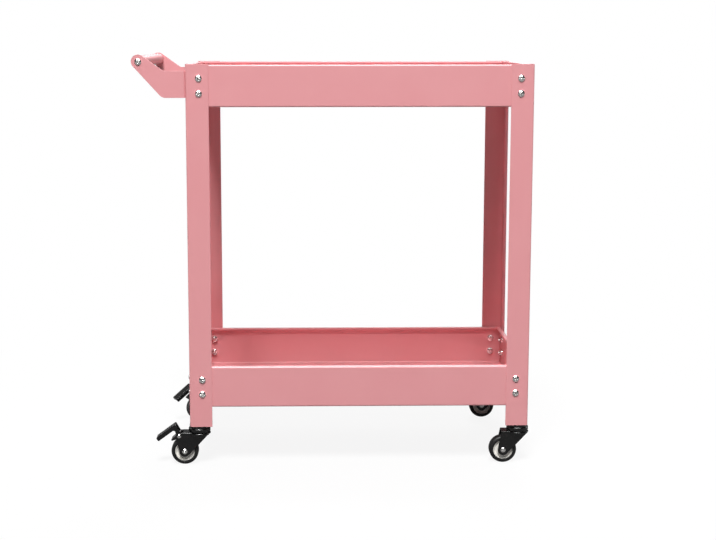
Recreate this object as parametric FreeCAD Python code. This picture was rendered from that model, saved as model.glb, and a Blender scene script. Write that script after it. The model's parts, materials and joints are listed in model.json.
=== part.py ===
import FreeCAD, Part
import math
import os

Vector = FreeCAD.Vector

# Frame sizes in millimetres: left is the handle end, front is the side with -Y
frame_length = 620.0
frame_depth = 345.0
caster_height = 74.0

# Legs, folded from sheet to an angle
leg_length = 660.0
leg_flange = 41.0
leg_steel = 1.5
leg_bend_radius = 1.5

# Trays, folded from one sheet each
tray_height = 75.0
tray_steel = 1.0
upper_tray_drop = 1.0
lower_tray_lift = 37.0
tray_corner_radius = 4.0
tray_foot_radius = 2.5
rim_bend_radius = 3.0
rim_width = 9.0
rim_return = 4.0
rim_edge_radius = 0.7

# Screws and flanged nuts that hold the trays, legs and handle together
screw_radius = 3.0
screw_hole_clearance = 0.2
screw_head_radius = 6.0
screw_head_height = 3.4
screw_head_edge = 1.0
screw_inset = 23.5
screw_spacing = 27.0
screw_tip = 1.5
nut_width = 10.0
nut_height = 5.5
nut_flange_radius = 6.6
nut_flange_height = 1.3
thread_clearance = 0.02

# Handle: two bent brackets with a tube between them
bracket_steel = 2.0
bracket_bend_radius = 1.5
bracket_tab_width = 37.0
bracket_tab_corner = 5.0
bracket_top_drop = 12.0
bracket_height = 47.5
bracket_shelf = 35.0
bracket_upper_knee_radius = 10.0
bracket_lower_knee_radius = 14.0
handle_reach = 82.5
handle_rise = 4.4
handle_tip_radius = 12.5
handle_tube_radius = 10.0
handle_tube_wall = 1.5
plug_length = 16.0
plug_clearance = 0.02
handle_screw_grip = 12.0

# Foot plates welded into the legs, which carry the casters
foot_plate_steel = 3.0
foot_plate_corner = 4.0
foot_plate_inset = 3.0
foot_plate_nose_radius = 16.0
caster_inset_x = 16.0
caster_inset_y = 20.0

# Caster heads with stem, race and king pin
stem_radius = 5.0
stem_hole_clearance = 0.1
stem_length = 19.0
stem_nut_width = 16.0
stem_nut_height = 8.0
stem_washer_radius = 9.5
stem_washer_height = 1.6
race_radius = 20.0
race_height = 11.5
race_edge_radius = 1.6
race_neck_radius = 18.2
race_neck_height = 5.2
king_pin_radius = 5.0
king_pin_head_radius = 8.5
king_pin_head_height = 3.0
thrust_ring_outer_radius = 16.0
thrust_ring_height = 2.0
swivel_play = 0.05
running_clearance = 0.05

# Caster forks
crown_radius = 20.5
crown_height = 4.0
crown_edge_radius = 2.0
fork_steel = 2.0
fork_web = 2.5
fork_back = 30.0
fork_nose_depth = 3.5
axle_boss_radius = 10.0
brake_lobe_radius = 6.0
trail = 27.0

# Wheels on their axles
wheel_radius = 25.0
tyre_width = 19.0
tyre_shoulder_radius = 4.0
core_radius = 18.0
core_width = 17.0
core_rim = 2.0
core_web = 14.0
hub_radius = 8.0
hub_standout = 0.5
hub_play = 0.5
axle_radius = 3.0
axle_head_radius = 4.8
axle_head_height = 1.8
axle_dimple_radius = 1.8
axle_dimple_depth = 1.0
sleeve_wall = 1.0

# Brake pedals, with a channel section, a neck to the pin and a shoe for the tyre
brake_pin_radius = 2.0
brake_pin_head_radius = 3.6
brake_pin_head_height = 1.4
brake_pin_back = 10.0
brake_pin_above_axle = 29.0
brake_hub_radius = 4.5
pedal_steel = 1.8
pedal_side_play = 0.4
pedal_channel_depth = 7.5
pedal_heel_back = 18.0
pedal_heel_above_axle = 48.0
pedal_toe_back = 50.0
pedal_toe_above_axle = 24.5
pedal_edge_radius = 2.0
pedal_notch_radius = 3.0
shoe_reach = 8.0
shoe_thickness = 3.0
shoe_gap = 0.4

# Angles in degrees
brake_travel = 14.0
caster_turns = {"front_left": 0.0, "front_right": 0.0, "rear_left": 26.0, "rear_right": 0.0}

# Every cut runs past the faces that it opens by this much
overrun = 5.0

# Places worked out from the sizes above, with the origin on the floor under the middle of the whole
left_overhang = handle_reach + handle_tip_radius
right_overhang = max(screw_head_height, crown_radius - caster_inset_x)
overall_length = left_overhang + frame_length + right_overhang
x_left = left_overhang - overall_length / 2
x_right = x_left + frame_length
y_front = -frame_depth / 2
y_rear = frame_depth / 2
leg_top = caster_height + leg_length
upper_rim = leg_top - upper_tray_drop
lower_rim = caster_height + lower_tray_lift + tray_height
screw_hole_radius = screw_radius + screw_hole_clearance
handle_x = x_left - handle_reach
handle_z = leg_top + handle_rise
race_bottom = caster_height - race_height
crown_top = race_bottom - thrust_ring_height - swivel_play
crown_bottom = crown_top - fork_web
fork_half_inside = tyre_width / 2 + hub_standout + hub_play
fork_half_outside = fork_half_inside + fork_steel
sleeve_radius = axle_radius + sleeve_wall
brake_pin_x = -trail - brake_pin_back
brake_pin_z = wheel_radius + brake_pin_above_axle

# Corners of the frame: name, side in X and side in Y
corners = [
    ("front_left", -1, -1),
    ("front_right", 1, -1),
    ("rear_left", -1, 1),
    ("rear_right", 1, 1),
]
braked_corners = ("front_left", "rear_left")

X_AXIS = Vector(1, 0, 0)
Y_AXIS = Vector(0, 1, 0)
Z_AXIS = Vector(0, 0, 1)


def flat_xy(z):
    """Place an outline's points in a level plane."""
    return lambda u, v: Vector(u, v, z)


def flat_xz(y):
    """Place an outline's points in an upright plane that faces the front."""
    return lambda u, v: Vector(u, y, v)


def belt(discs, lift):
    """A closed outline, counter-clockwise, like a belt round discs given as (u, v, radius).

    A disc with a positive radius lies inside the belt, one with a negative radius lies outside it,
    and radius zero is a sharp corner.
    """
    count = len(discs)
    normals = []
    for index, (u, v, radius) in enumerate(discs):
        next_u, next_v, next_radius = discs[(index + 1) % count]
        along = math.atan2(next_v - v, next_u - u)
        length = math.hypot(next_u - u, next_v - v)
        normals.append(along - math.pi / 2 + math.asin((radius - next_radius) / length))
    edges = []
    first = None
    last = None
    for index, (u, v, radius) in enumerate(discs):
        start = normals[index - 1]
        sweep = (normals[index] - start) % (2 * math.pi)
        if radius < 0:
            sweep -= 2 * math.pi
        arc = [start, start + sweep / 2, start + sweep]
        points = [lift(u + radius * math.cos(a), v + radius * math.sin(a)) for a in arc]
        if last is None:
            first = points[0]
        else:
            edges.append(Part.makeLine(last, points[0]))
        if radius:
            edges.append(Part.Arc(*points).toShape())
        last = points[2]
    edges.append(Part.makeLine(last, first))
    return Part.Wire(edges)


def plate(discs, lift, depth):
    """A solid plate with a belt outline, thickened along a vector."""
    return Part.Face(belt(discs, lift)).extrude(depth)


def box(low, high):
    """A box between two opposite corners."""
    size = high - low
    return Part.makeBox(size.x, size.y, size.z, low)


def turned(outline):
    """A solid of revolution about Z from (radius, height) points."""
    points = [Vector(radius, 0, height) for radius, height in outline]
    points.append(points[0])
    return Part.Face(Part.makePolygon(points)).revolve(Vector(), Z_AXIS, 360)


def disc(radius, low, high):
    """An upright cylinder on the Z axis."""
    return Part.makeCylinder(radius, high - low, Vector(0, 0, low))


def tube(outer, inner, low, high):
    """An upright ring on the Z axis."""
    bore = disc(inner, low - overrun, high + overrun)
    return disc(outer, low, high).cut(bore)


def hexagon(width, low, high):
    """An upright hexagonal prism on the Z axis, given its width across the flats."""
    corner = width / math.sqrt(3)
    angles = [math.radians(60 * side) for side in range(7)]
    points = [Vector(corner * math.cos(a), corner * math.sin(a), low) for a in angles]
    return Part.Face(Part.makePolygon(points)).extrude(Vector(0, 0, high - low))


def aimed(shape, position, direction):
    """A copy of a shape built along +Z, moved to a position and turned to a direction."""
    copy = shape.copy()
    copy.Placement = FreeCAD.Placement(position, FreeCAD.Rotation(Z_AXIS, direction))
    return copy


def rounded_edges(shape, radius, chosen):
    """The shape with a fillet on each edge whose box passes the test."""
    edges = [edge for edge in shape.Edges if chosen(edge.BoundBox)]
    return shape.makeFillet(radius, edges)


def same(a, b):
    """True when two lengths agree to within the modeller's precision."""
    return math.isclose(a, b, rel_tol=0, abs_tol=tray_steel / 1000)


def sheet_block(low, high, upright_radius, foot_radius, top_radius):
    """A box with the bends of a folded tray: upright corners, foot and top edges."""
    block = box(low, high)
    block = rounded_edges(block, upright_radius, lambda b: same(b.ZLength, high.z - low.z))
    block = rounded_edges(block, foot_radius, lambda b: same(b.ZMax, low.z))
    return rounded_edges(block, top_radius, lambda b: same(b.ZMin, high.z))


def outer_x(side):
    """The outer face of the legs on one side in X."""
    return x_left if side < 0 else x_right


def outer_y(side):
    """The outer face of the legs on one side in Y."""
    return y_front if side < 0 else y_rear


def at_corner(shape, side_x, side_y):
    """A piece built for the front left corner, mirrored and moved to any corner of the frame."""
    copy = shape.copy()
    if side_x > 0:
        copy = copy.mirror(Vector(), X_AXIS)
    if side_y > 0:
        copy = copy.mirror(Vector(), Y_AXIS)
    copy.translate(Vector(outer_x(side_x), outer_y(side_y), 0))
    return copy


def screw_heights(rim):
    """The two screw heights of a tray, given the height of its rim."""
    middle = rim - tray_height / 2
    return [middle - screw_spacing / 2, middle + screw_spacing / 2]


def tray_screw_places(rim):
    """Each screw of a tray as (point on the leg's outer face, outward direction)."""
    places = []
    for name, side_x, side_y in corners:
        inset_x = outer_x(side_x) - side_x * screw_inset
        inset_y = outer_y(side_y) - side_y * screw_inset
        for height in screw_heights(rim):
            places.append((Vector(inset_x, outer_y(side_y), height), Vector(0, side_y, 0)))
            places.append((Vector(outer_x(side_x), inset_y, height), Vector(side_x, 0, 0)))
    return places


def on_bracket(direction, rim):
    """True for the screws that also pass through a handle bracket."""
    return rim == upper_rim and direction.x < 0


def leg():
    """A leg at the front left corner, with its outer corner on the Z axis."""
    outer_bend = leg_steel + leg_bend_radius
    section = [
        (outer_bend, outer_bend, outer_bend),
        (leg_flange, 0, 0),
        (leg_flange, leg_steel, 0),
        (outer_bend, outer_bend, -leg_bend_radius),
        (leg_steel, leg_flange, 0),
        (0, leg_flange, 0),
    ]
    angle = plate(section, flat_xy(caster_height), Vector(0, 0, leg_length))
    hole = disc(screw_hole_radius, -overrun, leg_steel + overrun)
    for rim in (upper_rim, lower_rim):
        for height in screw_heights(rim):
            angle = angle.cut(aimed(hole, Vector(screw_inset, 0, height), Y_AXIS))
            angle = angle.cut(aimed(hole, Vector(0, screw_inset, height), X_AXIS))
    return angle


def foot_plate():
    """The plate welded into the bottom of the front left leg, with a round nose and the hole for the stem."""
    edge = leg_flange - foot_plate_inset
    near = leg_steel + foot_plate_corner
    far = edge - foot_plate_corner
    nose = edge - foot_plate_nose_radius
    outline = [
        (near, near, foot_plate_corner),
        (far, near, foot_plate_corner),
        (nose, nose, foot_plate_nose_radius),
        (near, far, foot_plate_corner),
    ]
    body = plate(outline, flat_xy(caster_height), Vector(0, 0, foot_plate_steel))
    hole_low = caster_height - overrun
    hole_high = caster_height + foot_plate_steel + overrun
    hole = disc(stem_radius + stem_hole_clearance, hole_low, hole_high)
    hole.translate(Vector(caster_inset_x, caster_inset_y, 0))
    return body.cut(hole)


def tray(rim):
    """A folded tray whose rim turns in and down, with its screw holes."""
    low = Vector(x_left + leg_steel, y_front + leg_steel, rim - tray_height)
    high = Vector(x_right - leg_steel, y_rear - leg_steel, rim)
    wall = Vector(tray_steel, tray_steel, tray_steel)
    outside = sheet_block(low, high, tray_corner_radius, tray_foot_radius, rim_bend_radius)
    inside = sheet_block(
        low + wall,
        high - wall,
        tray_corner_radius - tray_steel,
        tray_foot_radius - tray_steel,
        rim_bend_radius - tray_steel,
    )
    mouth_low = Vector(low.x + rim_width, low.y + rim_width, rim - rim_return)
    mouth_high = Vector(high.x - rim_width, high.y - rim_width, rim)
    flange_low = mouth_low - Vector(tray_steel, tray_steel, 0)
    flange_high = mouth_high + Vector(tray_steel, tray_steel, 0)
    flange = box(flange_low, flange_high)
    body = outside.cut(inside).fuse(flange)
    body = body.cut(box(mouth_low - Vector(0, 0, overrun), mouth_high + Vector(0, 0, overrun)))
    body = body.removeSplitter()

    def on_mouth(b):
        return same(b.ZMin, rim) and b.XMin > flange_low.x and b.XMax < flange_high.x

    body = rounded_edges(body, rim_edge_radius, on_mouth)
    hole = disc(screw_hole_radius, -overrun, leg_steel + tray_steel + overrun)
    for position, direction in tray_screw_places(rim):
        body = body.cut(aimed(hole, position, -direction))
    return body


def screw(grip):
    """A round-head screw along Z, with its head above zero and its shank through a grip below."""
    crown = screw_head_height - screw_head_edge
    dome_radius = (screw_head_radius**2 + crown**2) / (2 * crown)
    dome_centre = Vector(0, 0, screw_head_height - dome_radius)
    head = disc(screw_head_radius, 0, screw_head_height)
    head = head.common(Part.makeSphere(dome_radius, dome_centre))
    return head.fuse(disc(screw_radius, -grip, 0))


def flange_nut():
    """A hexagonal nut with a round flange at its foot, standing on zero."""
    body = hexagon(nut_width, 0, nut_height).fuse(disc(nut_flange_radius, 0, nut_flange_height))
    return body.cut(disc(screw_radius + thread_clearance, -overrun, nut_height + overrun))


def tray_screws(rim):
    """All screws of one tray. Those at the handle brackets are longer."""
    plain_grip = leg_steel + tray_steel + nut_height + screw_tip
    plain = screw(plain_grip)
    longer = screw(plain_grip + bracket_steel)
    solids = []
    for position, direction in tray_screw_places(rim):
        if on_bracket(direction, rim):
            solids.append(aimed(longer, position + direction * bracket_steel, direction))
        else:
            solids.append(aimed(plain, position, direction))
    return Part.makeCompound(solids)


def tray_nuts(rim):
    """All nuts of one tray, on the inner faces of its walls."""
    nut = flange_nut()
    seat = leg_steel + tray_steel
    places = tray_screw_places(rim)
    return Part.makeCompound([aimed(nut, p - d * seat, -d) for p, d in places])


def handle_bracket():
    """The front handle bracket: an arm cut from sheet, bent back into a tab along the leg."""
    outer_bend = bracket_steel + bracket_bend_radius
    tip_end = handle_x - handle_tip_radius - overrun
    back = y_front + bracket_tab_width
    inner_x = x_left - outer_bend
    inner_y = y_front + outer_bend
    section = [
        (inner_x, inner_y, outer_bend),
        (x_left, back, 0),
        (x_left - bracket_steel, back, 0),
        (inner_x, inner_y, -bracket_bend_radius),
        (tip_end, y_front + bracket_steel, 0),
        (tip_end, y_front, 0),
    ]
    top = leg_top - bracket_top_drop
    low = top - bracket_height
    knee_x = x_left - bracket_shelf
    arm = [
        (x_left, low, 0),
        (x_left, top, 0),
        (knee_x, top + bracket_upper_knee_radius, -bracket_upper_knee_radius),
        (handle_x, handle_z, handle_tip_radius),
        (knee_x, low + bracket_lower_knee_radius, bracket_lower_knee_radius),
    ]
    bent_low = low - overrun
    bent_high = handle_z + handle_tip_radius + overrun
    bent = plate(section, flat_xy(bent_low), Vector(0, 0, bent_high - bent_low))
    outline_width = bracket_tab_width + overrun + overrun
    outline = plate(arm, flat_xz(y_front - overrun), Vector(0, outline_width, 0))
    body = bent.common(outline)
    body = rounded_edges(body, bracket_tab_corner, lambda b: same(b.YMin, back) and same(b.ZLength, 0))
    hole = disc(screw_hole_radius, -overrun, bracket_steel + overrun)
    for height in screw_heights(upper_rim):
        body = body.cut(aimed(hole, Vector(x_left, y_front + screw_inset, height), -X_AXIS))
    return body.cut(aimed(hole, Vector(handle_x, y_front, handle_z), Y_AXIS))


def handle_tube():
    """The round tube between the two brackets."""
    length = frame_depth - 2 * bracket_steel
    body = tube(handle_tube_radius, handle_tube_radius - handle_tube_wall, 0, length)
    return aimed(body, Vector(handle_x, y_front + bracket_steel, handle_z), Y_AXIS)


def handle_tube_plugs():
    """Tapped plugs in both ends of the handle tube."""
    radius = handle_tube_radius - handle_tube_wall - plug_clearance
    plug = tube(radius, screw_radius + thread_clearance, 0, plug_length)
    front = aimed(plug, Vector(handle_x, y_front + bracket_steel, handle_z), Y_AXIS)
    rear = aimed(plug, Vector(handle_x, y_rear - bracket_steel, handle_z), -Y_AXIS)
    return Part.makeCompound([front, rear])


def handle_tube_screws():
    """The screws through the bracket tips into the plugs."""
    body = screw(bracket_steel + handle_screw_grip)
    front = aimed(body, Vector(handle_x, y_front, handle_z), -Y_AXIS)
    rear = aimed(body, Vector(handle_x, y_rear, handle_z), Y_AXIS)
    return Part.makeCompound([front, rear])


def caster_axis(side_x, side_y):
    """The point on the floor under a caster's swivel axis."""
    inset_x = outer_x(side_x) - side_x * caster_inset_x
    inset_y = outer_y(side_y) - side_y * caster_inset_y
    return Vector(inset_x, inset_y, 0)


def on_every_caster(shape):
    """A group with one copy of a shape on each swivel axis."""
    copies = []
    for name, side_x, side_y in corners:
        copy = shape.copy()
        copy.translate(caster_axis(side_x, side_y))
        copies.append(copy)
    return Part.makeCompound(copies)


def stem_washers():
    """The washers between the foot plates and the stem nuts."""
    low = caster_height + foot_plate_steel
    washer = tube(stem_washer_radius, stem_radius + stem_hole_clearance, low, low + stem_washer_height)
    return on_every_caster(washer)


def stem_nuts():
    """The nuts that hold the caster stems in the foot plates."""
    low = caster_height + foot_plate_steel + stem_washer_height
    nut = hexagon(stem_nut_width, low, low + stem_nut_height)
    nut = nut.cut(disc(stem_radius + thread_clearance, low - overrun, low + stem_nut_height + overrun))
    return on_every_caster(nut)


def caster_head():
    """The fixed part of a caster: stem above, race in the middle, king pin and its head below."""
    pin_low = crown_bottom - swivel_play
    race_top = caster_height - race_neck_height
    race = disc(race_radius, race_bottom, race_top)
    race = rounded_edges(race, race_edge_radius, lambda b: same(b.ZMin, race_top))
    neck = disc(race_neck_radius, race_bottom, caster_height)
    stem = disc(stem_radius, race_bottom, caster_height + stem_length)
    pin = disc(king_pin_radius, pin_low, race_bottom)
    head = disc(king_pin_head_radius, pin_low - king_pin_head_height, pin_low)
    return race.fuse([neck, stem, pin, head]).removeSplitter()


def thrust_ring():
    """The ring that the crown turns under."""
    bore = king_pin_radius + running_clearance
    return tube(thrust_ring_outer_radius, bore, race_bottom - thrust_ring_height, race_bottom)


def fork(braked):
    """A caster fork trailing to -X from the swivel axis: a round crown on a bent U."""
    nose_low = crown_top - fork_nose_depth
    nose = math.sqrt(crown_radius**2 - fork_half_outside**2)
    profile = [(nose, nose_low, 0), (nose, crown_top, 0), (-fork_back, crown_top, 0)]
    if braked:
        profile.append((brake_pin_x, brake_pin_z, brake_lobe_radius))
    profile.append((-trail, wheel_radius, axle_boss_radius))
    width = Vector(0, 2 * fork_half_outside, 0)
    body = plate(profile, flat_xz(-fork_half_outside), width)
    crown = disc(crown_radius, crown_top - crown_height, crown_top)
    crown = rounded_edges(crown, crown_edge_radius, lambda b: same(b.ZMin, crown_top))
    body = body.fuse(crown)
    far = crown_radius + overrun
    back_end = min(brake_pin_x - brake_lobe_radius, -trail - axle_boss_radius)
    gap_low = Vector(back_end - overrun, -fork_half_inside, 0)
    body = body.cut(box(gap_low, Vector(far, fork_half_inside, crown_bottom)))
    slot_high = Vector(-fork_back, fork_half_inside, crown_top + overrun)
    body = body.cut(box(gap_low, slot_high))
    skirt_bore = disc(crown_radius - fork_steel, 0, crown_bottom)
    skirt_bore = skirt_bore.cut(box(Vector(-far, -far, 0), Vector(far, fork_half_outside, crown_top)))
    body = body.cut(skirt_bore).cut(skirt_bore.mirror(Vector(), Y_AXIS))
    body = body.cut(disc(king_pin_radius + running_clearance, 0, crown_top + overrun))
    axle_hole = across(axle_radius + thread_clearance, -trail, wheel_radius, far)
    body = body.cut(axle_hole)
    if braked:
        pin_hole = across(brake_pin_radius + thread_clearance, brake_pin_x, brake_pin_z, far)
        body = body.cut(pin_hole)
    return body.removeSplitter()


def across(radius, x, z, half_length):
    """A cylinder across a caster, along Y."""
    return Part.makeCylinder(radius, 2 * half_length, Vector(x, -half_length, z), Y_AXIS)


def riveted(radius, head_radius, head_height, x, z):
    """A rivet across the fork, with domed heads on both cheeks."""
    body = across(radius, x, z, fork_half_outside)
    dome_radius = (head_radius**2 + head_height**2) / (2 * head_height)
    dome = Part.makeSphere(dome_radius, Vector(0, 0, head_height - dome_radius))
    head = dome.common(disc(head_radius, 0, head_height))
    front = aimed(head, Vector(x, -fork_half_outside, z), -Y_AXIS)
    rear = aimed(head, Vector(x, fork_half_outside, z), Y_AXIS)
    return body.fuse([front, rear])


def axle():
    """The axle rivet, with a dimple in each head."""
    body = riveted(axle_radius, axle_head_radius, axle_head_height, -trail, wheel_radius)
    face = fork_half_outside + axle_head_height
    dimple = Part.makeCone(0, axle_dimple_radius, axle_dimple_depth)
    front = aimed(dimple, Vector(-trail, axle_dimple_depth - face, wheel_radius), -Y_AXIS)
    rear = aimed(dimple, Vector(-trail, face - axle_dimple_depth, wheel_radius), Y_AXIS)
    return body.cut(front).cut(rear)


def axle_sleeve():
    """The sleeve between the cheeks, which the axle clamps and the wheel turns on."""
    bore = axle_radius + thread_clearance
    body = tube(sleeve_radius, bore, -fork_half_inside, fork_half_inside)
    return aimed(body, Vector(-trail, 0, wheel_radius), Y_AXIS)


def wheel_core():
    """The moulded wheel centre: hub, web and rim."""
    bore = sleeve_radius + running_clearance
    hub_half = fork_half_inside - hub_play
    half_web = core_web / 2
    half_rim = core_width / 2
    rim_inside = core_radius - core_rim
    half_outline = [
        (hub_radius, hub_half),
        (hub_radius, half_web),
        (rim_inside, half_web),
        (rim_inside, half_rim),
        (core_radius, half_rim),
    ]
    mirrored = [(radius, -height) for radius, height in reversed(half_outline)]
    outline = [(bore, -hub_half), (bore, hub_half)] + half_outline + mirrored
    return aimed(turned(outline), Vector(-trail, 0, wheel_radius), Y_AXIS)


def wheel_tyre():
    """The rubber tyre with round shoulders, on the rim of the core."""
    half = tyre_width / 2
    body = tube(wheel_radius, core_radius, -half, half)

    def on_shoulder(b):
        return same(b.XMax, wheel_radius) and same(b.ZLength, 0)

    body = rounded_edges(body, tyre_shoulder_radius, on_shoulder)
    return aimed(body, Vector(-trail, 0, wheel_radius), Y_AXIS)


def brake_pin():
    """The rivet that the brake pedal tips on."""
    return riveted(
        brake_pin_radius, brake_pin_head_radius, brake_pin_head_height, brake_pin_x, brake_pin_z
    )


def brake_shoe():
    """The shoe: a flat tongue from the hub, set along the tyre, then turned back to the free position."""
    tip_radius = shoe_thickness / 2
    half = fork_half_inside - pedal_side_play
    pressed = wheel_radius + shoe_gap
    axle_place = Vector(-trail, 0, wheel_radius)
    pin_place = Vector(brake_pin_x, 0, brake_pin_z)
    to_pin = pin_place - axle_place
    lean = math.acos((pressed + brake_hub_radius) / to_pin.Length)
    angle = math.atan2(to_pin.z, to_pin.x) + lean
    outward = Vector(math.cos(angle), 0, math.sin(angle))
    along = outward.cross(Y_AXIS)
    tip = axle_place + outward * (pressed + tip_radius) + along * shoe_reach
    profile = [(brake_pin_x, brake_pin_z, brake_hub_radius), (tip.x, tip.z, tip_radius)]
    shoe = plate(profile, flat_xz(-half), Vector(0, 2 * half, 0))
    shoe.rotate(pin_place, Y_AXIS, brake_travel)
    return shoe


def brake_pedal():
    """A pressed pedal: a channel from heel to toe, a neck down to the pin and the shoe below it."""
    half = fork_half_inside - pedal_side_play
    heel = Vector(-trail - pedal_heel_back, 0, wheel_radius + pedal_heel_above_axle)
    toe = Vector(-trail - pedal_toe_back, 0, wheel_radius + pedal_toe_above_axle)
    slope = toe - heel
    slope.normalize()
    down = slope.cross(Y_AXIS)
    if down.z > 0:
        down = -down
    edge = pedal_edge_radius
    depth = pedal_channel_depth - 2 * edge
    heel_low = heel + down * depth
    toe_low = toe + down * depth
    neck_width = 2 * brake_hub_radius
    notch = heel_low + slope * neck_width + down * (edge + pedal_notch_radius)
    profile = [
        (heel.x, heel.z, edge),
        (toe.x, toe.z, edge),
        (toe_low.x, toe_low.z, edge),
        (notch.x, notch.z, -pedal_notch_radius),
        (brake_pin_x, brake_pin_z, brake_hub_radius),
    ]
    side = plate(profile, flat_xz(-half), Vector(0, 2 * half, 0))
    inside = plate(profile, flat_xz(pedal_steel - half), Vector(0, 2 * (half - pedal_steel), 0))
    inside.translate(down * pedal_steel)
    hub = across(brake_hub_radius, brake_pin_x, brake_pin_z, half)
    body = side.cut(inside).fuse([hub, brake_shoe()])
    bore = across(brake_pin_radius + running_clearance, brake_pin_x, brake_pin_z, half + overrun)
    return body.cut(bore).removeSplitter()


def on_caster(shape, name, side_x, side_y):
    """A moving caster piece, turned to where the caster stands and moved to its swivel axis."""
    copy = shape.copy()
    copy.rotate(Vector(), Z_AXIS, caster_turns[name])
    copy.translate(caster_axis(side_x, side_y))
    return copy


def save(name, shape):
    """Write one node, and say how large it is."""
    shape.exportStep(os.path.join("parts", name + ".step"))
    solids = len(shape.Solids)
    print(f"{name}: {solids} solid(s), {shape.Volume:.0f} mm3, valid {shape.isValid()}")


def build_frame():
    """Legs, foot plates, trays and what screws them together."""
    for name, side_x, side_y in corners:
        save("leg_" + name, at_corner(leg(), side_x, side_y))
        save("foot_plate_" + name, at_corner(foot_plate(), side_x, side_y))
    for name, rim in (("upper_tray", upper_rim), ("lower_tray", lower_rim)):
        save(name, tray(rim))
        save(name + "_screws", tray_screws(rim))
        save(name + "_nuts", tray_nuts(rim))


def build_handle():
    """Brackets, tube, plugs and screws of the handle."""
    front = handle_bracket()
    save("handle_bracket_front", front)
    save("handle_bracket_rear", front.mirror(Vector(), Y_AXIS))
    save("handle_tube", handle_tube())
    save("handle_tube_plugs", handle_tube_plugs())
    save("handle_tube_screws", handle_tube_screws())


def build_casters():
    """Four casters, two of them with brakes."""
    save("caster_stem_washers", stem_washers())
    save("caster_stem_nuts", stem_nuts())
    fixed = {"caster_head": caster_head(), "thrust_ring": thrust_ring()}
    moving = {
        "caster_axle": axle(),
        "axle_sleeve": axle_sleeve(),
        "wheel_core": wheel_core(),
        "wheel_tyre": wheel_tyre(),
    }
    brake = {"brake_pedal": brake_pedal(), "brake_pin": brake_pin()}
    forks = {True: fork(True), False: fork(False)}
    for name, side_x, side_y in corners:
        braked = name in braked_corners
        pieces = dict(moving, caster_fork=forks[braked])
        if braked:
            pieces.update(brake)
        for piece, shape in pieces.items():
            save(piece + "_" + name, on_caster(shape, name, side_x, side_y))
        for piece, shape in fixed.items():
            copy = shape.copy()
            copy.translate(caster_axis(side_x, side_y))
            save(piece + "_" + name, copy)


os.makedirs("parts", exist_ok=True)
build_frame()
build_handle()
build_casters()
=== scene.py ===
import json
import math

import bpy
from mathutils import Matrix, Vector


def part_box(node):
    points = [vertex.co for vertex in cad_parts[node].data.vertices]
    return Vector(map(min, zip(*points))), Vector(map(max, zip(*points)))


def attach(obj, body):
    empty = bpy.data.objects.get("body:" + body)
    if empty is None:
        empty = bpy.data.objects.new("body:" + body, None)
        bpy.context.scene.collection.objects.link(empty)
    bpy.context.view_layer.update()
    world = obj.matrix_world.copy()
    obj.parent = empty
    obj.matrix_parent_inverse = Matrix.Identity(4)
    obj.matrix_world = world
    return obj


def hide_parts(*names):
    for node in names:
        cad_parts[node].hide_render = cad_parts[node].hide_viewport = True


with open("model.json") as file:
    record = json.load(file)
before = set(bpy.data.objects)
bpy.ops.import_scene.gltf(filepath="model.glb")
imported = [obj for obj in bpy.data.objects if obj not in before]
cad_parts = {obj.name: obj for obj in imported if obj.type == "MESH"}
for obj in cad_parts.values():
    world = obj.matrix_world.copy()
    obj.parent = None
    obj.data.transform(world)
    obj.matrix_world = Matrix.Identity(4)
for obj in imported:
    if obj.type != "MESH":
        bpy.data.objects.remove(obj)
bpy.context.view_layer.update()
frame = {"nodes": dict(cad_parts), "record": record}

# Sizes in metres, in the same frame as the solids: left is the handle end, front is the side with -Y
screw_radius = 0.003
screw_head_radius = 0.006
screw_head_height = 0.0034
screw_head_edge = 0.001
screw_inset = 0.0235
screw_spacing = 0.027
screw_tip = 0.0015
screw_tip_share = 0.78
screw_spin_seed = 7
cross_width = 0.0013
cross_reach = 0.0036
cross_depth = 0.0016
cross_floor_share = 0.55
thread_pitch = 0.001
thread_depth = 0.0003
leg_steel = 0.0015
tray_steel = 0.001
bracket_steel = 0.002
handle_screw_grip = 0.012
nut_width = 0.010
nut_height = 0.0055
nut_flange_radius = 0.0066
nut_flange_height = 0.0013
nut_top_share = 0.96
nut_chamfer_angle = 30.0
nut_flange_lip_share = 0.55
nut_flange_top_share = 0.94
nut_sides = 48
nut_spin_seed = 11
stem_radius = 0.005
stem_nut_width = 0.016
stem_nut_height = 0.008
stem_nut_face_radius = 0.0078
stem_nut_face_height = 0.0006
weld_radius = 0.0014
weld_ripple = 0.14
weld_ripple_length = 0.0021
weld_inset = 0.0004
weld_start = 0.006
weld_length = 0.025
seam_radius = 0.0009
seam_inset = 0.0016
seam_below = 0.004
seam_above = 0.006
bead_step = 0.0004
bead_end = 0.002
bead_end_share = 0.3
bead_sides = 10
wheel_radius = 0.025
trail = 0.027
tyre_half_width = 0.0095
tyre_ring_radius = 0.0195
tyre_ring_thickness = 0.0004
tyre_ring_join = 0.00001
tyre_ring_steps = 96
pedal_heel_back = 0.018
pedal_heel_above_axle = 0.048
pedal_toe_back = 0.050
pedal_toe_above_axle = 0.0245
pedal_edge_radius = 0.002
pedal_rib_half = 0.0084
pedal_rib_radius = 0.0009
pedal_rib_sunk = 0.0004
pedal_rib_first = 0.007
pedal_rib_spacing = 0.0052
pedal_ribs = 6
merge_distance = 0.00002
sharp_angle = 38.0

# How far each caster is turned, in degrees, and which way each corner lies from the middle
caster_turns = {"front_left": 0.0, "front_right": 0.0, "rear_left": 26.0, "rear_right": 0.0}
corner_sides = {"front_left": (-1, -1), "front_right": (1, -1), "rear_left": (-1, 1), "rear_right": (1, 1)}
braked_corners = ("front_left", "rear_left")

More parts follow.
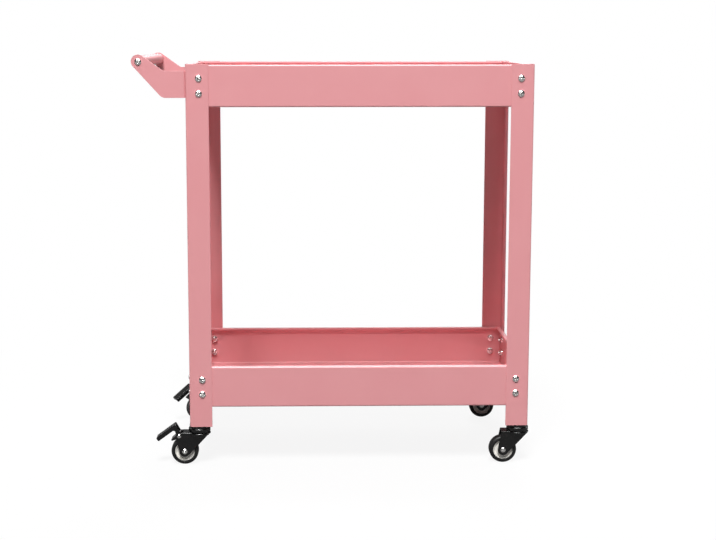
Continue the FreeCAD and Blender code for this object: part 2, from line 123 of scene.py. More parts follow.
# Colours, as linear red, green and blue
PINK = (0.77, 0.318, 0.337, 1.0)
PINK_PALE = (0.80, 0.356, 0.374, 1.0)
# Paler pink that is painted along the edges as a highlight, standing in for light caught on the bends
PINK_EDGE_HIGHLIGHT = (0.86, 0.455, 0.473, 1.0)
ENAMEL = (0.0025, 0.0025, 0.0027, 1.0)
ENAMEL_WORN = (0.012, 0.012, 0.0125, 1.0)
RUBBER = (0.004, 0.004, 0.0042, 1.0)
RUBBER_DUST = (0.012, 0.0115, 0.011, 1.0)
CREAM = (0.88, 0.86, 0.81, 1.0)
CREAM_SHADE = (0.82, 0.79, 0.73, 1.0)
ZINC = (0.78, 0.77, 0.75, 1.0)
ZINC_DULL = (0.62, 0.61, 0.60, 1.0)
NYLON = (0.30, 0.30, 0.29, 1.0)
NYLON_PALE = (0.38, 0.38, 0.37, 1.0)
WHITE = (1.0, 1.0, 1.0, 1.0)

# Lamps, each with its place, the point that it is turned to, its size and its power in watts
lamps = {
    "key": ((-0.5, -4.65, 8.5), (0.05, 0.0, 0.40), (2.6, 2.6), 1380.0),
    "back": ((0.9, 3.6, 3.2), (0.05, 0.0, 0.45), (2.4, 1.8), 150.0),
    "left_end": ((-4.2, 1.4, 1.0), (-0.25, 0.0, 0.40), (1.6, 1.6), 40.0),
    "right_end": ((4.2, 1.4, 1.0), (0.35, 0.0, 0.40), (1.6, 1.6), 40.0),
    "strip": ((-0.4, -4.2, 5.2), (0.05, 0.0, 0.10), (7.0, 2.2), 650.0),
}

# The room and its floor: lengths in metres, and strengths where 1 is white
ambient_light = 0.02
room_front = 0.04
room_back = 0.22
floor_pale = 0.60
floor_dark = 0.20
floor_glow = 0.90
floor_gloss = 0.10
floor_half = 12.0
fade_start = 0.35
fade_end = 1.1

# The photograph's camera
camera_place = Vector((-0.0560, -2.5951, 0.7795))
camera_yaw = 1.08
camera_pitch = 8.00
camera_lens = 68.43
camera_sensor = 36.0
camera_shift = (0.0406, -0.0568)


class Nodes:
    """Short ways to add nodes to one tree and to join them."""

    def __init__(self, tree):
        self.tree = tree

    def add(self, kind, *inputs, **settings):
        """A new node with its settings made and its first inputs fed."""
        node = self.tree.nodes.new(kind)
        for name, value in settings.items():
            setattr(node, name, value)
        for socket, value in zip(node.inputs, inputs):
            self.feed(socket, value)
        return node

    def feed(self, socket, value):
        """Link a socket, or set its own value. None leaves it alone."""
        if isinstance(value, bpy.types.NodeSocket):
            self.tree.links.new(value, socket)
        elif value is not None:
            socket.default_value = value

    def math(self, operation, *values):
        """The result of one sum."""
        return self.add("ShaderNodeMath", *values, operation=operation).outputs[0]


class Finish:
    """A material with one Principled shader, read from Object coordinates."""

    def __init__(self, name):
        self.material = bpy.data.materials.new(name)
        self.material.use_nodes = True
        self.nodes = Nodes(self.material.node_tree)
        self.shader = self.material.node_tree.nodes["Principled BSDF"]
        self.place = self.nodes.add("ShaderNodeTexCoord").outputs["Object"]

    def set(self, **values):
        """Set or link inputs of the shader, with spaces written as underscores."""
        for name, value in values.items():
            self.nodes.feed(self.shader.inputs[name.replace("_", " ")], value)

    def noise(self, scale, detail=3.0, roughness=0.55):
        """Noise from 0 to 1, with its scale in waves to the metre."""
        node = self.nodes.add("ShaderNodeTexNoise")
        self.nodes.feed(node.inputs["Vector"], self.place)
        node.inputs["Scale"].default_value = scale
        node.inputs["Detail"].default_value = detail
        node.inputs["Roughness"].default_value = roughness
        return node.outputs["Fac"]

    def spread(self, value, low, high, to_low, to_high):
        """A value moved from one range to another and held there."""
        node = self.nodes.add("ShaderNodeMapRange", value, low, high, to_low, to_high)
        return node.outputs[0]

    def mix(self, share, first, second):
        """Two colours mixed by a share."""
        node = self.nodes.add("ShaderNodeMix", data_type="RGBA")
        self.nodes.feed(node.inputs[0], share)
        self.nodes.feed(node.inputs[6], first)
        self.nodes.feed(node.inputs[7], second)
        return node.outputs[2]

    def edges(self, radius):
        """Normals rounded over each edge, and a share that is 1 on edges and 0 on flat faces."""
        bevel = self.nodes.add("ShaderNodeBevel", radius, samples=6)
        geometry = self.nodes.add("ShaderNodeNewGeometry")
        dot = self.nodes.add("ShaderNodeVectorMath", operation="DOT_PRODUCT")
        self.nodes.feed(dot.inputs[0], bevel.outputs[0])
        self.nodes.feed(dot.inputs[1], geometry.outputs["Normal"])
        return bevel.outputs[0], self.spread(dot.outputs["Value"], 0.98, 0.75, 0.0, 1.0)

    def bump(self, height, strength, distance, normal=None):
        """A bump laid over the surface's normals."""
        node = self.nodes.add("ShaderNodeBump")
        node.inputs["Strength"].default_value = strength
        node.inputs["Distance"].default_value = distance
        self.nodes.feed(node.inputs["Height"], height)
        self.nodes.feed(node.inputs["Normal"], normal)
        self.set(Normal=node.outputs[0])


def pink_powder_coat():
    """Satin pink powder coat on folded sheet: fine orange peel, and a painted highlight as a paler line
    along each edge.
    """
    finish = Finish("pink_powder_coat")
    normal, edge = finish.edges(0.0007)
    cloud = finish.spread(finish.noise(9.0), 0.35, 0.65, 0.0, 0.35)
    speck = finish.spread(finish.noise(2600.0, 1.0), 0.56, 0.74, 0.0, 0.22)
    colour = finish.mix(cloud, PINK, PINK_PALE)
    colour = finish.mix(speck, colour, PINK_PALE)
    # Painted highlight: the paler pink is mixed in along every edge, in place of light caught on the bends
    edge_highlight_share = finish.nodes.math("MULTIPLY", edge, 0.30)
    finish.set(Base_Color=finish.mix(edge_highlight_share, colour, PINK_EDGE_HIGHLIGHT))
    finish.set(Roughness=finish.spread(finish.noise(60.0, 4.0), 0.3, 0.7, 0.36, 0.46))
    finish.set(Specular_IOR_Level=0.5, Coat_Weight=0.06, Coat_Roughness=0.25)
    peel = finish.nodes.math("ADD", finish.noise(620.0, 2.0), finish.noise(1900.0, 1.0))
    finish.bump(peel, 0.10, 0.00012, normal)
    return finish.material


def black_enamel():
    """Gloss black enamel on pressed steel, rubbed a little along its edges."""
    finish = Finish("black_enamel")
    normal, edge = finish.edges(0.0020)
    rub = finish.nodes.math("MULTIPLY", edge, finish.spread(finish.noise(240.0), 0.45, 0.7, 0.0, 0.8))
    finish.set(Base_Color=finish.mix(rub, ENAMEL, ENAMEL_WORN))
    finish.set(Roughness=finish.spread(finish.noise(130.0, 4.0), 0.3, 0.7, 0.14, 0.24))
    finish.set(Specular_IOR_Level=0.45)
    finish.bump(finish.noise(900.0, 2.0), 0.08, 0.0001, normal)
    return finish.material


def black_rubber():
    """Matt moulded rubber with a little dust in its grain."""
    finish = Finish("black_rubber")
    dust = finish.spread(finish.noise(180.0, 5.0, 0.7), 0.5, 0.75, 0.0, 0.7)
    finish.set(Base_Color=finish.mix(dust, RUBBER, RUBBER_DUST))
    finish.set(Roughness=finish.spread(finish.noise(320.0), 0.3, 0.7, 0.42, 0.62))
    finish.set(Specular_IOR_Level=0.35)
    finish.bump(finish.noise(1500.0, 3.0), 0.15, 0.00015)
    return finish.material


def cream_plastic():
    """Glossy moulded plastic of the wheel cores."""
    finish = Finish("cream_plastic")
    normal = finish.edges(0.0006)[0]
    flow = finish.spread(finish.noise(70.0, 2.0), 0.35, 0.65, 0.0, 0.5)
    finish.set(Base_Color=finish.mix(flow, CREAM, CREAM_SHADE))
    finish.set(Roughness=finish.spread(finish.noise(200.0), 0.3, 0.7, 0.26, 0.38))
    finish.bump(finish.noise(1100.0, 2.0), 0.06, 0.0001, normal)
    return finish.material


def bright_zinc():
    """Bright zinc plate on screws, nuts, washers and rivets."""
    finish = Finish("bright_zinc")
    normal = finish.edges(0.0003)[0]
    dull = finish.spread(finish.noise(700.0, 4.0), 0.4, 0.7, 0.0, 1.0)
    finish.set(Base_Color=finish.mix(dull, ZINC, ZINC_DULL), Metallic=1.0)
    finish.set(Roughness=finish.spread(finish.noise(900.0, 3.0), 0.3, 0.7, 0.14, 0.28))
    finish.bump(finish.noise(2200.0, 2.0), 0.10, 0.00008, normal)
    return finish.material


def grey_nylon():
    """Matt nylon of the rings, sleeves and plugs."""
    finish = Finish("grey_nylon")
    cloud = finish.spread(finish.noise(150.0), 0.35, 0.65, 0.0, 1.0)
    finish.set(Base_Color=finish.mix(cloud, NYLON, NYLON_PALE))
    finish.set(Roughness=finish.spread(finish.noise(400.0), 0.3, 0.7, 0.45, 0.6))
    finish.bump(finish.noise(1600.0, 2.0), 0.12, 0.0001)
    return finish.material


finishes = {
    "pink_paint": pink_powder_coat(),
    "black_enamel": black_enamel(),
    "black_rubber": black_rubber(),
    "cream_plastic": cream_plastic(),
    "bright_zinc": bright_zinc(),
    "grey_nylon": grey_nylon(),
}


def dress_solids():
    """Give each solid the finish of its slot in the record."""
    for part in frame["record"]["subparts"]:
        solid = frame["nodes"][part["node"]]
        solid.data.materials.clear()
        solid.data.materials.append(finishes[part["material_slot"]])


def new_tree(name, sizes):
    """An empty Geometry Nodes tree with named sizes, as (nodes, the inputs by name, the output)."""
    tree = bpy.data.node_groups.new(name, "GeometryNodeTree")
    tree.interface.new_socket("Geometry", in_out="INPUT", socket_type="NodeSocketGeometry")
    tree.interface.new_socket("Geometry", in_out="OUTPUT", socket_type="NodeSocketGeometry")
    for size in sizes:
        tree.interface.new_socket(size, in_out="INPUT", socket_type="NodeSocketFloat")
    nodes = Nodes(tree)
    inputs = nodes.add("NodeGroupInput").outputs
    output = nodes.add("NodeGroupOutput")
    return nodes, inputs, output


class Turning:
    """A grid bent round Z inside a tree, one turn wide, whose rows get a radius and a height."""

    def __init__(self, nodes, sides, rows):
        self.nodes = nodes
        self.last_row = rows - 1
        self.grid = nodes.add("GeometryNodeMeshGrid", 1.0, 1.0, sides + 1, rows).outputs["Mesh"]
        place = nodes.add("ShaderNodeSeparateXYZ", nodes.add("GeometryNodeInputPosition").outputs[0])
        across = nodes.math("ADD", place.outputs["X"], 0.5)
        along = nodes.math("ADD", place.outputs["Y"], 0.5)
        self.turn = across
        self.angle = nodes.math("MULTIPLY", across, 2 * math.pi)
        self.row = nodes.math("ROUND", nodes.math("MULTIPLY", along, float(self.last_row)))

    def by_row(self, values):
        """One value for each row."""
        switch = self.nodes.add("GeometryNodeIndexSwitch", data_type="FLOAT")
        while len(switch.index_switch_items) < len(values):
            switch.index_switch_items.new()
        self.nodes.feed(switch.inputs[0], self.row)
        for socket, value in zip(switch.inputs[1:], values):
            self.nodes.feed(socket, value)
        return switch.outputs[0]

    def bent(self, radius, height):
        """The closed mesh, with seams and poles merged."""
        nodes = self.nodes
        x = nodes.math("MULTIPLY", radius, nodes.math("COSINE", self.angle))
        y = nodes.math("MULTIPLY", radius, nodes.math("SINE", self.angle))
        place = nodes.add("ShaderNodeCombineXYZ", x, y, height).outputs[0]
        moved = nodes.add("GeometryNodeSetPosition", self.grid, None, place).outputs[0]
        merged = nodes.add("GeometryNodeMergeByDistance", moved)
        merged.inputs["Distance"].default_value = merge_distance
        return merged.outputs[0]


def standing(nodes, points, shape, spin):
    """Copies of a shape on points, turned to each point's outward direction and spun about it."""
    outward = nodes.add("GeometryNodeInputNamedAttribute", "outward", data_type="FLOAT_VECTOR")
    aim = nodes.add("FunctionNodeAlignRotationToVector", axis="Z")
    nodes.feed(aim.inputs["Vector"], outward.outputs["Attribute"])
    turn = nodes.add("FunctionNodeAxisAngleToRotation", (0.0, 0.0, 1.0), spin).outputs[0]
    spun = nodes.add("FunctionNodeRotateRotation", aim.outputs[0], turn, rotation_space="LOCAL")
    copies = nodes.add("GeometryNodeInstanceOnPoints", points)
    nodes.feed(copies.inputs["Instance"], shape)
    nodes.feed(copies.inputs["Rotation"], spun.outputs[0])
    return copies.outputs[0]


def random_spin(nodes, seed):
    """An angle up to a full turn that differs from point to point."""
    node = nodes.add("FunctionNodeRandomValue", data_type="FLOAT")
    node.inputs[2].default_value = 0.0
    node.inputs[3].default_value = 2 * math.pi
    node.inputs[8].default_value = seed
    return node.outputs[1]


def close_tree(nodes, output, shapes, material):
    """Join shapes, make them real, give them a material and send them out of the tree."""
    join = nodes.add("GeometryNodeJoinGeometry")
    for shape in shapes:
        nodes.tree.links.new(shape, join.inputs[0])
    real = nodes.add("GeometryNodeRealizeInstances", join.outputs[0]).outputs[0]
    smooth = nodes.add("GeometryNodeSetShadeSmooth", real).outputs[0]
    painted = nodes.add("GeometryNodeSetMaterial", smooth)
    painted.inputs["Material"].default_value = material
    nodes.feed(output.inputs[0], painted.outputs[0])
    return nodes.tree


def round_head_screws():
    """A tree that sets round-head screws with a cross recess and a threaded tip on points."""
    names = ["Head radius", "Head height", "Head edge", "Shank radius", "Cross width", "Cross reach"]
    names += ["Cross depth", "Tip length", "Thread pitch", "Thread depth"]
    nodes, sizes, output = new_tree("round_head_screws", names)
    head = screw_head(nodes, sizes)
    tip = screw_end(nodes, sizes)
    points = sizes["Geometry"]
    grip = nodes.add("GeometryNodeInputNamedAttribute", "grip", data_type="FLOAT")
    outward = nodes.add("GeometryNodeInputNamedAttribute", "outward", data_type="FLOAT_VECTOR")
    inward = nodes.add("ShaderNodeVectorMath", operation="SCALE")
    nodes.feed(inward.inputs[0], outward.outputs["Attribute"])
    nodes.feed(inward.inputs["Scale"], nodes.math("MULTIPLY", grip.outputs["Attribute"], -1.0))
    ends = nodes.add("GeometryNodeSetPosition", points)
    nodes.feed(ends.inputs["Offset"], inward.outputs[0])
    spin = random_spin(nodes, screw_spin_seed)
    heads = standing(nodes, points, head, spin)
    tips = standing(nodes, ends.outputs[0], tip, spin)
    return close_tree(nodes, output, [heads, tips], finishes["bright_zinc"])


def screw_head(nodes, sizes):
    """The dome of a screw from its seat to its crown, with a cross sunk into it."""
    sides, dome_rows = 72, 20
    turning = Turning(nodes, sides, dome_rows + 3)
    climb = nodes.math("SUBTRACT", turning.row, 2.0)
    share = nodes.add("ShaderNodeClamp", nodes.math("DIVIDE", climb, float(dome_rows))).outputs[0]
    full = nodes.math("MULTIPLY", sizes["Head radius"], nodes.math("SUBTRACT", 1.0, share))
    is_seat = nodes.math("LESS_THAN", turning.row, 0.5)
    to_pole = nodes.math("MULTIPLY", sizes["Head radius"], -1.0)
    radius = nodes.math("MULTIPLY_ADD", is_seat, to_pole, full)
    crown = nodes.math("SUBTRACT", sizes["Head height"], sizes["Head edge"])
    crown_square = nodes.math("MULTIPLY", crown, crown)
    head_square = nodes.math("MULTIPLY", sizes["Head radius"], sizes["Head radius"])
    squares = nodes.math("ADD", head_square, crown_square)
    sphere = nodes.math("DIVIDE", squares, nodes.math("MULTIPLY", crown, 2.0))
    sphere_square = nodes.math("MULTIPLY", sphere, sphere)
    rise_square = nodes.math("SUBTRACT", sphere_square, nodes.math("MULTIPLY", full, full))
    rise = nodes.math("SQRT", nodes.math("MAXIMUM", rise_square, 0.0))
    centre = nodes.math("SUBTRACT", sizes["Head height"], sphere)
    dome = nodes.math("ADD", centre, rise)
    x = nodes.math("ABSOLUTE", nodes.math("MULTIPLY", full, nodes.math("COSINE", turning.angle)))
    y = nodes.math("ABSOLUTE", nodes.math("MULTIPLY", full, nodes.math("SINE", turning.angle)))
    beside_arm = nodes.math("MINIMUM", x, y)
    along_arm = nodes.math("MAXIMUM", x, y)
    half_width = nodes.math("MULTIPLY", sizes["Cross width"], 0.5)
    floor_edge = nodes.math("MULTIPLY", half_width, cross_floor_share)
    in_arm = nodes.add("ShaderNodeMapRange", beside_arm, half_width, floor_edge)
    in_reach = nodes.add("ShaderNodeMapRange", along_arm, sizes["Cross reach"], 0.0)
    sunk = nodes.math("MULTIPLY", in_arm.outputs[0], nodes.math("SQRT", in_reach.outputs[0]))
    recess = nodes.math("MULTIPLY", sunk, sizes["Cross depth"])
    top = nodes.math("SUBTRACT", dome, recess)
    height = nodes.math("MULTIPLY", top, nodes.math("GREATER_THAN", turning.row, 1.5))
    return turning.bent(radius, height)


def screw_end(nodes, sizes):
    """The threaded end of a screw, from its flat tip upwards, closed at both ends."""
    sides, rows = 24, 15
    turning = Turning(nodes, sides, rows)
    share = nodes.math("DIVIDE", nodes.math("SUBTRACT", turning.row, 1.0), float(rows - 3))
    climb = nodes.add("ShaderNodeClamp", share).outputs[0]
    height = nodes.math("MULTIPLY", climb, sizes["Tip length"])
    turns = nodes.math("SUBTRACT", nodes.math("DIVIDE", height, sizes["Thread pitch"]), turning.turn)
    wave = nodes.math("PINGPONG", turns, 0.5)
    groove = nodes.math("MULTIPLY", nodes.math("MULTIPLY", wave, 2.0), sizes["Thread depth"])
    threaded = nodes.math("SUBTRACT", sizes["Shank radius"], groove)
    blunt = nodes.math("ADD", nodes.math("MULTIPLY", sizes["Shank radius"], screw_tip_share), height)
    outline = nodes.math("MINIMUM", threaded, blunt)
    above_tip = nodes.math("GREATER_THAN", turning.row, 0.5)
    below_top = nodes.math("LESS_THAN", turning.row, rows - 1.5)
    radius = nodes.math("MULTIPLY", outline, nodes.math("MULTIPLY", above_tip, below_top))
    return turning.bent(radius, height)


def flange_nuts():
    """A tree that sets hexagonal nuts with a round flange and chamfered corners on points."""
    names = ["Width", "Height", "Flange radius", "Flange height", "Bore radius"]
    nodes, sizes, output = new_tree("flange_nuts", names)
    turning = Turning(nodes, nut_sides, 9)
    half_width = nodes.math("MULTIPLY", sizes["Width"], 0.5)
    sixth = nodes.math("FRACT", nodes.math("MULTIPLY", turning.turn, 6.0))
    off_flat = nodes.math("MULTIPLY", nodes.math("SUBTRACT", sixth, 0.5), math.pi / 3)
    side = nodes.math("DIVIDE", half_width, nodes.math("COSINE", off_flat))
    top_radius = nodes.math("MULTIPLY", half_width, nut_top_share)
    overhang = nodes.math("SUBTRACT", side, top_radius)
    drop = nodes.math("MULTIPLY", overhang, math.tan(math.radians(nut_chamfer_angle)))
    shoulder = nodes.math("SUBTRACT", sizes["Height"], drop)
    flange_lip = nodes.math("MULTIPLY", sizes["Flange height"], nut_flange_lip_share)
    flange_top = nodes.math("MULTIPLY", sizes["Flange radius"], nut_flange_top_share)
    bore = sizes["Bore radius"]
    flange = sizes["Flange radius"]
    radius = turning.by_row([bore, flange, flange, flange_top, side, side, top_radius, bore, bore])
    root = sizes["Flange height"]
    top = sizes["Height"]
    height = turning.by_row([0.0, 0.0, flange_lip, root, root, shoulder, top, top, 0.0])
    nut = turning.bent(radius, height)
    spun = standing(nodes, sizes["Geometry"], nut, random_spin(nodes, nut_spin_seed))
    return close_tree(nodes, output, [spun], finishes["bright_zinc"])


def beads(name, material):
    """A tree that lays a round bead along each line, rippled like a weld where it has a ripple."""
    nodes, sizes, output = new_tree(name, ["Radius", "Ripple", "Ripple length", "End length"])
    line = nodes.add("GeometryNodeMeshToCurve", sizes["Geometry"]).outputs[0]
    fine = nodes.add("GeometryNodeResampleCurve", line, mode="LENGTH")
    fine.inputs["Length"].default_value = bead_step
    along = nodes.add("GeometryNodeSplineParameter").outputs["Length"]
    whole = nodes.add("GeometryNodeSplineLength").outputs["Length"]
    turns = nodes.math("DIVIDE", along, sizes["Ripple length"])
    wave = nodes.math("SINE", nodes.math("MULTIPLY", turns, 2 * math.pi))
    rippled = nodes.math("MULTIPLY_ADD", wave, sizes["Ripple"], 1.0)
    to_end = nodes.math("MINIMUM", along, nodes.math("SUBTRACT", whole, along))
    end = nodes.add("ShaderNodeMapRange", to_end, 0.0, sizes["End length"], bead_end_share, 1.0).outputs[0]
    thick = nodes.math("MULTIPLY", sizes["Radius"], nodes.math("MULTIPLY", rippled, end))
    circle = nodes.add("GeometryNodeCurvePrimitiveCircle")
    circle.inputs["Resolution"].default_value = bead_sides
    circle.inputs["Radius"].default_value = 1.0
    bead = nodes.add("GeometryNodeCurveToMesh", fine.outputs[0], circle.outputs["Curve"], thick, True)
    return close_tree(nodes, output, [bead.outputs[0]], material)


def laid_on_lines(name, tree, sizes, lines, closed=False):
    """A plain mesh that a tree makes along lines, each given as its points."""
    corners, edges = [], []
    for line in lines:
        first, last = len(corners), len(corners) + len(line) - 1
        corners += line
        edges += [(index, index + 1) for index in range(first, last)]
        if closed:
            edges.append((last, first))
    mesh = bpy.data.meshes.new(name)
    mesh.from_pydata(corners, edges, [])
    return grown(name, mesh, tree, sizes)


def set_on_points(name, tree, sizes, places):
    """A plain mesh that a tree makes on places, each given as (point, outward direction, grip)."""
    mesh = bpy.data.meshes.new(name)
    mesh.from_pydata([point for point, outward, grip in places], [], [])
    mesh.attributes.new("outward", "FLOAT_VECTOR", "POINT")
    mesh.attributes.new("grip", "FLOAT", "POINT")
    for index, (point, outward, grip) in enumerate(places):
        mesh.attributes["outward"].data[index].vector = outward
        mesh.attributes["grip"].data[index].value = grip
    return grown(name, mesh, tree, sizes)


def grown(name, mesh, tree, sizes):
    """The plain mesh that a tree grows from points or lines."""
    piece = bpy.data.objects.new(name, mesh)
    bpy.context.scene.collection.objects.link(piece)
    modifier = piece.modifiers.new(tree.name, "NODES")
    modifier.node_group = tree
    for item in tree.interface.items_tree:
        if item.name in sizes:
            modifier[item.identifier] = sizes[item.name]
    graph = bpy.context.evaluated_depsgraph_get()
    made = bpy.data.meshes.new_from_object(piece.evaluated_get(graph))
    piece.modifiers.clear()
    piece.data = made
    made.set_sharp_from_angle(angle=math.radians(sharp_angle))
    return piece


def tray_screw_places(tray):
    """Each screw of a tray as (point on the outer face, outward direction, grip)."""
    low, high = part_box(tray)
    middle = (low.z + high.z) / 2
    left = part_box("leg_front_left")[0].x
    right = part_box("leg_front_right")[1].x
    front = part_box("leg_front_left")[0].y
    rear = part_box("leg_rear_left")[1].y
    grip = leg_steel + tray_steel + nut_height + screw_tip
    places = []
    for height in (middle - screw_spacing / 2, middle + screw_spacing / 2):
        for face, inward in ((front, 1), (rear, -1)):
            for x in (left + screw_inset, right - screw_inset):
                places.append((Vector((x, face, height)), Vector((0, -inward, 0)), grip))
        for face, inward in ((left, 1), (right, -1)):
            for y in (front + screw_inset, rear - screw_inset):
                place, extra = Vector((face, y, height)), 0.0
                if tray == "upper_tray" and face == left:
                    extra = bracket_steel
                    place.x -= bracket_steel
                places.append((place, Vector((-inward, 0, 0)), grip + extra))
    return places


def tray_nut_places(tray):
    """The nuts of a tray: on the inner face of its wall, behind each screw."""
    seat = nut_height + screw_tip
    return [(point - out * (grip - seat), -out, grip) for point, out, grip in tray_screw_places(tray)]


def handle_screw_places():
    """The screws through the tips of the handle brackets into the tube."""
    low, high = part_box("handle_tube")
    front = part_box("handle_bracket_front")[0].y
    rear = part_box("handle_bracket_rear")[1].y
    x, z = (low.x + high.x) / 2, (low.z + high.z) / 2
    grip = bracket_steel + handle_screw_grip
    return [(Vector((x, y, z)), Vector((0, out, 0)), grip) for y, out in ((front, -1), (rear, 1))]


def stem_nut_places():
    """The nuts on the caster stems, each standing on its washer."""
    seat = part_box("caster_stem_washers")[1].z
    places = []
    for corner in corner_sides:
        low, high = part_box("caster_head_" + corner)
        place = Vector(((low.x + high.x) / 2, (low.y + high.y) / 2, seat))
        places.append((place, Vector((0, 0, 1)), 0.0))
    return places


def fasteners():
    """Screws and nuts with their drives, threads and chamfers."""
    screw_tree = round_head_screws()
    nut_tree = flange_nuts()
    screw_sizes = {
        "Head radius": screw_head_radius,
        "Head height": screw_head_height,
        "Head edge": screw_head_edge,
        "Shank radius": screw_radius,
        "Cross width": cross_width,
        "Cross reach": cross_reach,
        "Cross depth": cross_depth,
        "Tip length": screw_tip + nut_height,
        "Thread pitch": thread_pitch,
        "Thread depth": thread_depth,
    }
    nut_sizes = {
        "Width": nut_width,
        "Height": nut_height,
        "Flange radius": nut_flange_radius,
        "Flange height": nut_flange_height,
        "Bore radius": screw_radius,
    }
    stem_nut_sizes = {
        "Width": stem_nut_width,
        "Height": stem_nut_height,
        "Flange radius": stem_nut_face_radius,
        "Flange height": stem_nut_face_height,
        "Bore radius": stem_radius,
    }
    made = []
    for tray in ("upper_tray", "lower_tray"):
        made.append((tray + "_screws", screw_tree, screw_sizes, tray_screw_places(tray)))
        made.append((tray + "_nuts", nut_tree, nut_sizes, tray_nut_places(tray)))
    made.append(("handle_tube_screws", screw_tree, screw_sizes, handle_screw_places()))
    made.append(("caster_stem_nuts", nut_tree, stem_nut_sizes, stem_nut_places()))
    for node, tree, sizes, places in made:
        piece = set_on_points(node + "_cut", tree, sizes, places)
        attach(piece, "cart")
        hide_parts(node)


def foot_plate_weld_lines():
    """Two lines for each foot plate, along its top edges where they meet the leg."""
    lines = []
    for corner, (side_x, side_y) in corner_sides.items():
        low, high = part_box("foot_plate_" + corner)
        face_x = low.x if side_x < 0 else high.x
        face_y = low.y if side_y < 0 else high.y
        root = Vector((face_x, face_y, high.z)) + Vector((-side_x, -side_y, 1)) * weld_inset
        for inward in (Vector((-side_x, 0, 0)), Vector((0, -side_y, 0))):
            start = root + inward * weld_start
            lines.append([start, start + inward * weld_length])
    return lines


def tray_seam_lines(tray):
    """The four upright corners inside a tray, from its floor to its rim."""
    low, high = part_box(tray)
    lines = []
    for side_x, side_y in corner_sides.values():
        x = low.x + seam_inset if side_x < 0 else high.x - seam_inset
        y = low.y + seam_inset if side_y < 0 else high.y - seam_inset
        lines.append([Vector((x, y, low.z + seam_below)), Vector((x, y, high.z - seam_above))])
    return lines


def on_caster(corner, x, y, z):
    """A point given from the foot of a caster's swivel axis, turned as the caster is."""
    low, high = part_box("caster_head_" + corner)
    turn = Matrix.Rotation(math.radians(caster_turns[corner]), 3, "Z")
    return turn @ Vector((x, y, z)) + Vector(((low.x + high.x) / 2, (low.y + high.y) / 2, 0))


def tyre_ring_lines(corner):
    """A ring on each side of a tyre."""
    lines = []
    for side in (-tyre_half_width, tyre_half_width):
        ring = []
        for step in range(tyre_ring_steps):
            angle = 2 * math.pi * step / tyre_ring_steps
            x = tyre_ring_radius * math.cos(angle) - trail
            z = tyre_ring_radius * math.sin(angle) + wheel_radius
            ring.append(on_caster(corner, x, side, z))
        lines.append(ring)
    return lines


def pedal_rib_lines(corner):
    """The grip ribs across the tread of a brake pedal, from heel to toe."""
    heel = Vector((-trail - pedal_heel_back, 0, wheel_radius + pedal_heel_above_axle))
    toe = Vector((-trail - pedal_toe_back, 0, wheel_radius + pedal_toe_above_axle))
    slope = (toe - heel).normalized()
    upward = Vector((slope.z, 0, -slope.x))
    lines = []
    for index in range(pedal_ribs):
        reach = pedal_rib_first + index * pedal_rib_spacing
        rib = heel + slope * reach + upward * (pedal_edge_radius - pedal_rib_sunk)
        ends = (-pedal_rib_half, pedal_rib_half)
        lines.append([on_caster(corner, rib.x, side, rib.z) for side in ends])
    return lines


def beaded_pieces():
    """Welds of the foot plates, corner seams of the trays, rings of the tyres and ribs of the pedals."""
    pink = beads("welds", finishes["pink_paint"])
    black = beads("pedal_ribs", finishes["black_enamel"])
    rubber = beads("tyre_rings", finishes["black_rubber"])
    weld = {
        "Radius": weld_radius,
        "Ripple": weld_ripple,
        "Ripple length": weld_ripple_length,
        "End length": bead_end,
    }
    seam = dict(weld, Radius=seam_radius)
    smooth = {"Ripple": 0.0, "Ripple length": 1.0}
    rib = dict(smooth, **{"Radius": pedal_rib_radius, "End length": pedal_rib_radius})
    ring = dict(smooth, **{"Radius": tyre_ring_thickness, "End length": tyre_ring_join})
    welds = laid_on_lines("foot_plate_welds", pink, weld, foot_plate_weld_lines())
    made = [(welds, "cart", "pink_paint")]
    for tray in ("upper_tray", "lower_tray"):
        seams = laid_on_lines(tray + "_seams", pink, seam, tray_seam_lines(tray))
        made.append((seams, "cart", "pink_paint"))
    for corner in corner_sides:
        rings = laid_on_lines("tyre_rings_" + corner, rubber, ring, tyre_ring_lines(corner), closed=True)
        made.append((rings, "wheel_" + corner, "black_rubber"))
    for corner in braked_corners:
        ribs = laid_on_lines("pedal_ribs_" + corner, black, rib, pedal_rib_lines(corner))
        made.append((ribs, "brake_" + corner, "black_enamel"))
    for piece, body, slot in made:
        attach(piece, body)


def studio_world():
    """A white studio to the eye, darker in gloss towards its front, and hardly a light itself."""
    world = bpy.data.worlds.new("studio")
    bpy.context.scene.world = world
    world.use_nodes = True
    nodes = Nodes(world.node_tree)
    background = world.node_tree.nodes["Background"]
    background.inputs["Color"].default_value = WHITE
    direction = nodes.add("ShaderNodeSeparateXYZ", nodes.add("ShaderNodeTexCoord").outputs["Generated"])
    front_to_back = direction.outputs["Y"]
    room = nodes.add("ShaderNodeMapRange", front_to_back, -0.2, 0.5, room_front, room_back)
    path = nodes.add("ShaderNodeLightPath")
    bent = nodes.math("MULTIPLY", path.outputs["Is Glossy Ray"], room.outputs[0])
    plain = nodes.math("MAXIMUM", path.outputs["Is Camera Ray"], path.outputs["Is Transmission Ray"])
    seen = nodes.math("MAXIMUM", plain, bent)
    nodes.feed(background.inputs["Strength"], nodes.math("MAXIMUM", seen, ambient_light))


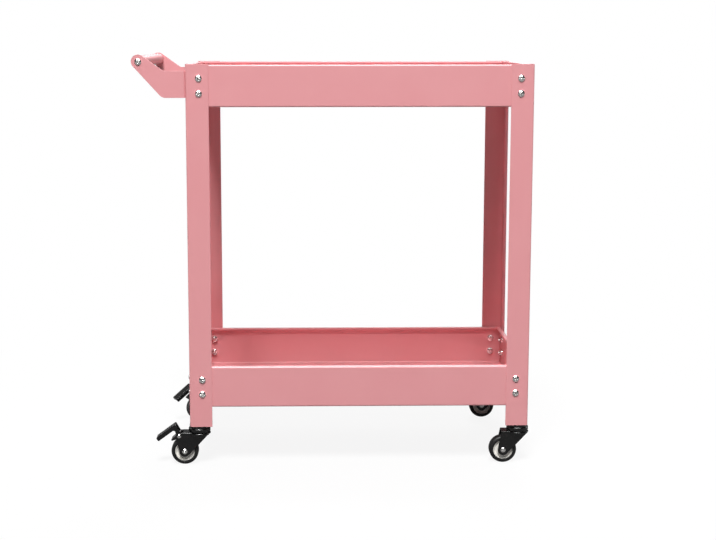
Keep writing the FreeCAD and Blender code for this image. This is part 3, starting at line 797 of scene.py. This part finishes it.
def studio_floor():
    """A pale floor that looks white away from the cart and keeps a soft shadow under it."""
    ways = ((-1, -1), (1, -1), (1, 1), (-1, 1))
    mesh = bpy.data.meshes.new("floor")
    mesh.from_pydata([(x * floor_half, y * floor_half, 0) for x, y in ways], [], [(0, 1, 2, 3)])
    floor = bpy.data.objects.new("floor", mesh)
    bpy.context.scene.collection.objects.link(floor)
    material = bpy.data.materials.new("studio_floor")
    material.use_nodes = True
    nodes = Nodes(material.node_tree)
    shader = material.node_tree.nodes["Principled BSDF"]
    output = material.node_tree.nodes["Material Output"]
    path = nodes.add("ShaderNodeLightPath")
    camera = path.outputs["Is Camera Ray"]
    grey = nodes.add("ShaderNodeMapRange", camera, 0.0, 1.0, floor_dark, floor_pale).outputs[0]
    colour = nodes.add("ShaderNodeCombineColor", grey, grey, grey).outputs[0]
    nodes.feed(shader.inputs["Base Color"], colour)
    shader.inputs["Roughness"].default_value = 0.9
    shader.inputs["Specular IOR Level"].default_value = 0.1
    place = nodes.add("ShaderNodeTexCoord").outputs["Object"]
    away = nodes.add("ShaderNodeVectorMath", place, operation="LENGTH").outputs["Value"]
    fade = nodes.add("ShaderNodeMapRange", away, fade_start, fade_end, floor_glow, 1.0)
    fade.interpolation_type = "SMOOTHSTEP"
    glow = nodes.add("ShaderNodeEmission", WHITE, 1.0)
    plain = nodes.math("MAXIMUM", camera, path.outputs["Is Transmission Ray"])
    bent = nodes.math("MULTIPLY", path.outputs["Is Glossy Ray"], floor_gloss)
    share = nodes.math("MULTIPLY", nodes.math("MAXIMUM", plain, bent), fade.outputs[0])
    both = nodes.add("ShaderNodeMixShader", share, shader.outputs[0], glow.outputs[0])
    nodes.feed(output.inputs["Surface"], both.outputs[0])
    mesh.materials.append(material)


def soft_box(name, place, aim, size, power):
    """A large soft lamp that points at a place on the cart."""
    lamp = bpy.data.lights.new(name, "AREA")
    lamp.shape = "RECTANGLE"
    lamp.size, lamp.size_y = size
    lamp.energy = power
    holder = bpy.data.objects.new(name, lamp)
    bpy.context.scene.collection.objects.link(holder)
    holder.location = place
    holder.rotation_euler = (Vector(aim) - Vector(place)).to_track_quat("-Z", "Y").to_euler()
    return holder


def studio_lights():
    """A key lamp high above the front, lamps for back and ends, and a strip that only shows in gloss."""
    for name, (place, aim, size, power) in lamps.items():
        holder = soft_box(name, place, aim, size, power)
        holder.visible_diffuse = name != "strip"


def photo_camera():
    """The camera at the photograph's viewing angle."""
    data = bpy.data.cameras.new("photo_camera")
    data.sensor_width = camera_sensor
    data.lens = camera_lens
    data.shift_x, data.shift_y = camera_shift
    holder = bpy.data.objects.new("photo_camera", data)
    bpy.context.scene.collection.objects.link(holder)
    holder.location = camera_place
    holder.rotation_euler = (math.radians(90 - camera_pitch), 0.0, math.radians(-camera_yaw))
    bpy.context.scene.camera = holder


dress_solids()
fasteners()
beaded_pieces()
studio_world()
studio_floor()
studio_lights()
photo_camera()
bpy.context.scene.view_settings.view_transform = "Standard"
